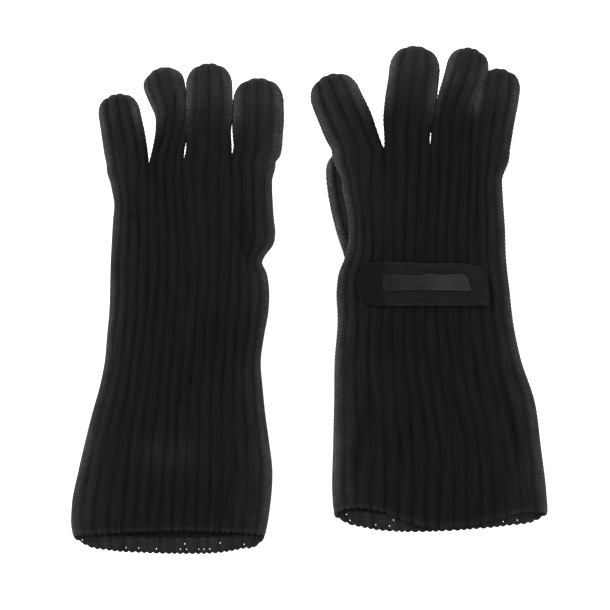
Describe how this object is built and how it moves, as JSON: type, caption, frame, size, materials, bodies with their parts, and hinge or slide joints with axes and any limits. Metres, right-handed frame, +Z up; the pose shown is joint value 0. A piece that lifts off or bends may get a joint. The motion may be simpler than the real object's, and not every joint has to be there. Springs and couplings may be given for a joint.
{
  "type": "heat resistant glove",
  "caption": "Pair of long-cuffed black rib-knit gloves lying flat, backs up, with bending fingers, thumbs and wrists, and a peeling wrist tab on the right one.",
  "frame": {"origin": "on the surface the gloves lie on, under the middle of the pair", "axes": "+Y from the cuffs to the fingertips, +Z up out of the backs of the gloves, +X to the right glove"},
  "size_m": [0.3224, 0.3452, 0.0269],
  "materials": {
    "knit": "black rib knit with a soft nap",
    "webbing": "black tightly woven tab",
    "loop_pile": "black loop pile",
    "label": "smooth black sewn label",
    "thread": "black sewing thread"
  },
  "bodies": {
    "right_hand": {"right_hand": "knit", "right_loop_patch": "loop_pile", "right_tab_anchor": "webbing", "right_tab_seam": "thread"},
    "right_cuff": {"right_cuff": "knit", "right_cuff_hem": "knit"},
    "right_index_base": {"right_index_base": "knit"},
    "right_index_tip": {"right_index_tip": "knit"},
    "right_middle_base": {"right_middle_base": "knit"},
    "right_middle_tip": {"right_middle_tip": "knit"},
    "right_ring_base": {"right_ring_base": "knit"},
    "right_ring_tip": {"right_ring_tip": "knit"},
    "right_little_base": {"right_little_base": "knit"},
    "right_little_tip": {"right_little_tip": "knit"},
    "right_thumb_base": {"right_thumb_base": "knit"},
    "right_thumb_tip": {"right_thumb_tip": "knit"},
    "left_hand": {"left_hand": "knit"},
    "left_cuff": {"left_cuff": "knit", "left_cuff_hem": "knit"},
    "left_index_base": {"left_index_base": "knit"},
    "left_index_tip": {"left_index_tip": "knit"},
    "left_middle_base": {"left_middle_base": "knit"},
    "left_middle_tip": {"left_middle_tip": "knit"},
    "left_ring_base": {"left_ring_base": "knit"},
    "left_ring_tip": {"left_ring_tip": "knit"},
    "left_little_base": {"left_little_base": "knit"},
    "left_little_tip": {"left_little_tip": "knit"},
    "left_thumb_base": {"left_thumb_base": "knit"},
    "left_thumb_tip": {"left_thumb_tip": "knit"},
    "right_tab_flap": {"right_wrist_tab": "webbing", "right_label": "label", "right_label_seam": "thread"}
  },
  "joints": [
    {"name": "right_wrist_bend", "type": "hinge", "parent": "right_hand", "child": "right_cuff", "pos_m": [0.0797, -0.0142, 0], "axis": [1, 0, 0], "range_deg": [-35, 60]},
    {"name": "right_index_knuckle", "type": "hinge", "parent": "right_hand", "child": "right_index_base", "pos_m": [0.0322, 0.1008, 0.00864], "axis": [-0.9239, -0.3827, 0], "range_deg": [-20, 75]},
    {"name": "right_index_curl", "type": "hinge", "parent": "right_index_base", "child": "right_index_tip", "pos_m": [0.02241, 0.12444, 0.00449], "axis": [-0.9239, -0.3827, 0], "range_deg": [-20, 75]},
    {"name": "right_middle_knuckle", "type": "hinge", "parent": "right_hand", "child": "right_middle_base", "pos_m": [0.0659, 0.1068, 0.00864], "axis": [-0.9936, 0.1132, 0], "range_deg": [-20, 75]},
    {"name": "right_middle_curl", "type": "hinge", "parent": "right_middle_base", "child": "right_middle_tip", "pos_m": [0.0694, 0.13752, 0.00449], "axis": [-0.9936, 0.1132, 0], "range_deg": [-20, 75]},
    {"name": "right_ring_knuckle", "type": "hinge", "parent": "right_hand", "child": "right_ring_base", "pos_m": [0.0949, 0.1073, 0.00365], "axis": [-0.9877, 0.1564, 0], "range_deg": [-20, 75]},
    {"name": "right_ring_curl", "type": "hinge", "parent": "right_ring_base", "child": "right_ring_tip", "pos_m": [0.0997, 0.13759, 0.0019], "axis": [-0.9877, 0.1564, 0], "range_deg": [-20, 75]},
    {"name": "right_little_knuckle", "type": "hinge", "parent": "right_hand", "child": "right_little_base", "pos_m": [0.1242, 0.1018, 0], "axis": [-0.9903, 0.1392, 0], "range_deg": [-20, 75]},
    {"name": "right_little_curl", "type": "hinge", "parent": "right_little_base", "child": "right_little_tip", "pos_m": [0.12781, 0.12747, 0], "axis": [-0.9903, 0.1392, 0], "range_deg": [-20, 75]},
    {"name": "right_thumb_swing", "type": "hinge", "parent": "right_hand", "child": "right_thumb_base", "pos_m": [0.0387, 0.0348, 0.0043], "axis": [0, 0, 1], "range_deg": [0, 50]},
    {"name": "right_thumb_curl", "type": "hinge", "parent": "right_thumb_base", "child": "right_thumb_tip", "pos_m": [0.03133, 0.06672, 0], "axis": [-0.9744, -0.225, 0], "range_deg": [0, 60]},
    {"name": "left_glove_lift", "type": "slide", "parent": "right_hand", "child": "left_hand", "axis": [0, 0, 1], "range_m": [0, 0.12]},
    {"name": "left_wrist_bend", "type": "hinge", "parent": "left_hand", "child": "left_cuff", "pos_m": [-0.0853, -0.0142, 0], "axis": [1, 0, 0], "range_deg": [-35, 60]},
    {"name": "left_index_knuckle", "type": "hinge", "parent": "left_hand", "child": "left_index_base", "pos_m": [-0.0373, 0.0968, 0.00864], "axis": [-0.9978, 0.0663, 0], "range_deg": [-20, 75]},
    {"name": "left_index_curl", "type": "hinge", "parent": "left_index_base", "child": "left_index_tip", "pos_m": [-0.03564, 0.12184, 0.00449], "axis": [-0.9978, 0.0663, 0], "range_deg": [-20, 75]},
    {"name": "left_middle_knuckle", "type": "hinge", "parent": "left_hand", "child": "left_middle_base", "pos_m": [-0.0695, 0.0963, 0.00864], "axis": [-0.9996, 0.0279, 0], "range_deg": [-20, 75]},
    {"name": "left_middle_curl", "type": "hinge", "parent": "left_middle_base", "child": "left_middle_tip", "pos_m": [-0.06865, 0.12673, 0.00449], "axis": [-0.9996, 0.0279, 0], "range_deg": [-20, 75]},
    {"name": "left_ring_knuckle", "type": "hinge", "parent": "left_hand", "child": "left_ring_base", "pos_m": [-0.0971, 0.0953, 0.00422], "axis": [-0.999, -0.0436, 0], "range_deg": [-20, 75]},
    {"name": "left_ring_curl", "type": "hinge", "parent": "left_ring_base", "child": "left_ring_tip", "pos_m": [-0.09843, 0.12568, 0.00219], "axis": [-0.999, -0.0436, 0], "range_deg": [-20, 75]},
    {"name": "left_little_knuckle", "type": "hinge", "parent": "left_hand", "child": "left_little_base", "pos_m": [-0.1236, 0.0943, 0], "axis": [-0.989, -0.1478, 0], "range_deg": [-20, 75]},
    {"name": "left_little_curl", "type": "hinge", "parent": "left_little_base", "child": "left_little_tip", "pos_m": [-0.12679, 0.11566, 0], "axis": [-0.989, -0.1478, 0], "range_deg": [-20, 75]},
    {"name": "left_thumb_swing", "type": "hinge", "parent": "left_hand", "child": "left_thumb_base", "pos_m": [-0.0388, 0.0348, 0.0043], "axis": [0, 0, -1], "range_deg": [0, 50]},
    {"name": "left_thumb_curl", "type": "hinge", "parent": "left_thumb_base", "child": "left_thumb_tip", "pos_m": [-0.03962, 0.06599, 0], "axis": [-0.9997, -0.0262, 0], "range_deg": [0, 60]},
    {"name": "right_tab_peel", "type": "hinge", "parent": "right_hand", "child": "right_tab_flap", "pos_m": [0.1096, 0.0104, 0.0155], "axis": [0, 1, 0], "range_deg": [0, 120]}
  ],
  "couplings": [
    {"joint": "right_index_curl", "follows": "right_index_knuckle", "ratio": 1},
    {"joint": "right_middle_curl", "follows": "right_middle_knuckle", "ratio": 1},
    {"joint": "right_ring_curl", "follows": "right_ring_knuckle", "ratio": 1},
    {"joint": "right_little_curl", "follows": "right_little_knuckle", "ratio": 1},
    {"joint": "left_index_curl", "follows": "left_index_knuckle", "ratio": 1},
    {"joint": "left_middle_curl", "follows": "left_middle_knuckle", "ratio": 1},
    {"joint": "left_ring_curl", "follows": "left_ring_knuckle", "ratio": 1},
    {"joint": "left_little_curl", "follows": "left_little_knuckle", "ratio": 1}
  ]
}
